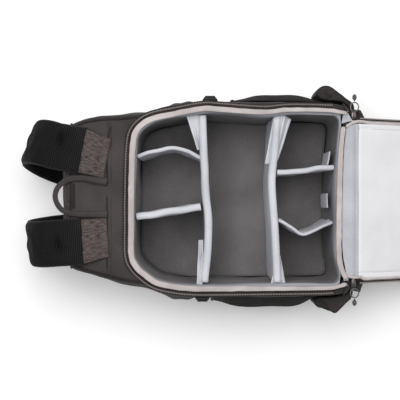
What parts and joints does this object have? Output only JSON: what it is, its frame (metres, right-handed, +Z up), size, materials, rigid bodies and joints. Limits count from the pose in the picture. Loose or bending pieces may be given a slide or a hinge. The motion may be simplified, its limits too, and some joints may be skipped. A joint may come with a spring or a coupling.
{
  "type": "camera backpack",
  "caption": "Rear-access camera backpack lying on its front with the back panel folded open over its base, padded cells inside, straps and haul handle at the top.",
  "frame": {"origin": "on the flat front face the bag lies on, under the middle of the gear compartment", "axes": "+Z up out of the open compartment, +X towards the bag's base and the opened back panel, +Y towards the wearer's left"},
  "size_m": [0.8251, 0.3663, 0.1899],
  "materials": {
    "nylon": "matt woven nylon, near black warm grey",
    "yoke_nylon": "matt fine woven nylon, dark warm grey",
    "air_mesh": "padded air mesh, black",
    "heather": "heathered polyester, brown grey",
    "binding": "folded grosgrain tape, pale pinkish grey",
    "lining_wall": "brushed lining, mid grey",
    "lining_light": "brushed lining, pale cool grey",
    "zip_tape": "woven zip tape, black",
    "zip_teeth": "coil teeth, dark grey",
    "gunmetal": "dark plated metal",
    "plastic": "moulded black plastic"
  },
  "bodies": {
    "root": {"base_panel": "nylon", "cross_divider_base_side": "lining_light", "cross_divider_top_side": "lining_light", "crown_panel": "heather", "crown_zip": "zip_tape", "curved_divider": "lining_light", "flap_binding": "binding", "flap_board": "nylon", "flap_lining": "lining_light", "flap_zip_tape": "zip_tape", "front_panel": "nylon", "haul_handle": "yoke_nylon", "hinge_gusset": "lining_light", "left_belt_pad": "air_mesh", "left_pull_bead": "plastic", "left_pull_ring": "gunmetal", "left_shoulder_pad": "air_mesh", "left_side_panel": "nylon", "left_side_pocket": "air_mesh", "left_side_tab": "plastic", "left_strap_root": "heather", "left_strap_webbing": "nylon", "left_zip_slider": "gunmetal", "liner_floor": "lining_wall", "liner_wall": "lining_wall", "long_divider_base_side": "lining_light", "long_divider_top_side": "lining_light", "right_belt_pad": "air_mesh", "right_pull_bead": "plastic", "right_pull_ring": "gunmetal", "right_shoulder_pad": "air_mesh", "right_side_panel": "nylon", "right_side_pocket": "air_mesh", "right_side_tab": "plastic", "right_strap_root": "heather", "right_strap_webbing": "nylon", "right_zip_slider": "gunmetal", "rim_binding": "binding", "sling_divider": "lining_light", "yoke_panel": "yoke_nylon", "zip_tape": "zip_tape", "zip_teeth": "zip_teeth"}
  },
  "joints": []
}
